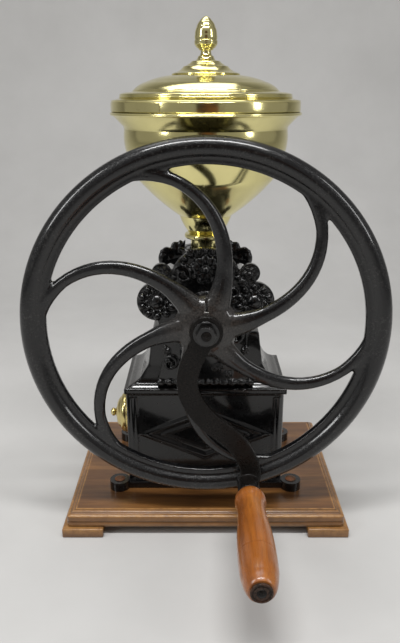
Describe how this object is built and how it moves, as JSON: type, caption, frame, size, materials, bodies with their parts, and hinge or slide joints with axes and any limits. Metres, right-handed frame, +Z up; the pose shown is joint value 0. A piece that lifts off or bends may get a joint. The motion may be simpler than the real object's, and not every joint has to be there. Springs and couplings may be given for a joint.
{
  "type": "hand crank coffee grinder",
  "caption": "Counter coffee mill: a cast iron flywheel with a crank and wooden grip turns conical burrs under a lidded brass hopper; ground coffee falls into a drawer.",
  "frame": {"origin": "middle of the plinth's footprint, on the surface the mill stands on", "axes": "+Z up, -Y towards the flywheel and crank side, -X towards the drawer's knob"},
  "size_m": [0.4, 0.4321, 0.5746],
  "materials": {
    "blackened_iron": "worn black varnish over cast iron",
    "wheel_enamel": "glossy black enamel, worn grey at the edges",
    "bare_iron": "dark brown worn iron",
    "brass_sheet": "polished",
    "plinth_wood": "varnished, worn at the edges",
    "grip_wood": "glossy varnish",
    "machined_steel": "turned, lightly oiled",
    "tray_steel": "dull tinned sheet",
    "bearing_bronze": "turned"
  },
  "bodies": {
    "mill": {"base_board": "plinth_wood", "front_left_foot": "plinth_wood", "front_right_foot": "plinth_wood", "rear_left_foot": "plinth_wood", "rear_right_foot": "plinth_wood", "foot_frame": "blackened_iron", "board_screws": "bare_iron", "frame_screws": "machined_steel", "drawer_box": "blackened_iron", "housing_screws": "machined_steel", "mill_housing": "blackened_iron", "front_cover": "blackened_iron", "cover_bolts": "bare_iron", "front_bush": "bearing_bronze", "leaf_crown": "blackened_iron", "rear_cover": "blackened_iron", "rear_cover_screws": "machined_steel", "rear_bush": "bearing_bronze", "lock_nut": "machined_steel", "burr_ring": "machined_steel", "burr_ring_screws": "machined_steel", "hopper_bowl": "brass_sheet", "neck_collar": "brass_sheet", "hopper_screws": "machined_steel", "thrust_pad": "machined_steel"},
    "wheel_set": {"main_shaft": "machined_steel", "burr_cone": "machined_steel", "cone_pin": "machined_steel", "feed_screw": "machined_steel", "flywheel": "wheel_enamel", "wheel_key": "machined_steel", "crank_arm": "bare_iron", "crank_washer": "bare_iron", "crank_nut": "bare_iron", "handle_spindle": "bare_iron", "handle_washer": "bare_iron"},
    "grip": {"handle_grip": "grip_wood"},
    "lid": {"hopper_lid": "brass_sheet", "lid_skirt": "brass_sheet", "lid_band": "brass_sheet", "lid_cap": "brass_sheet", "lid_finial": "brass_sheet", "finial_nut": "machined_steel"},
    "drawer": {"drawer_tray": "tray_steel", "drawer_front": "blackened_iron", "drawer_rivets": "machined_steel", "knob_dome": "brass_sheet", "knob_bolt": "brass_sheet", "knob_nut": "machined_steel"},
    "adjuster": {"adjusting_screw": "machined_steel"}
  },
  "joints": [
    {"name": "wheel_spin", "type": "hinge", "parent": "mill", "child": "wheel_set", "pos_m": [0, 0, 0.2565], "axis": [0, 1, 0], "continuous": true},
    {"name": "grip_spin", "type": "hinge", "parent": "wheel_set", "child": "grip", "pos_m": [0.04816, -0.152, 0.0755], "axis": [0, -1, 0], "continuous": true},
    {"name": "drawer_slide", "type": "slide", "parent": "mill", "child": "drawer", "axis": [-1, 0, 0], "range_m": [0, 0.14]},
    {"name": "lid_lift", "type": "slide", "parent": "mill", "child": "lid", "axis": [0, 0, 1], "range_m": [0, 0.1]},
    {"name": "adjuster_turn", "type": "hinge", "parent": "mill", "child": "adjuster", "pos_m": [0, 0, 0.2565], "axis": [0, 1, 0], "range_deg": [0, 720]}
  ]
}
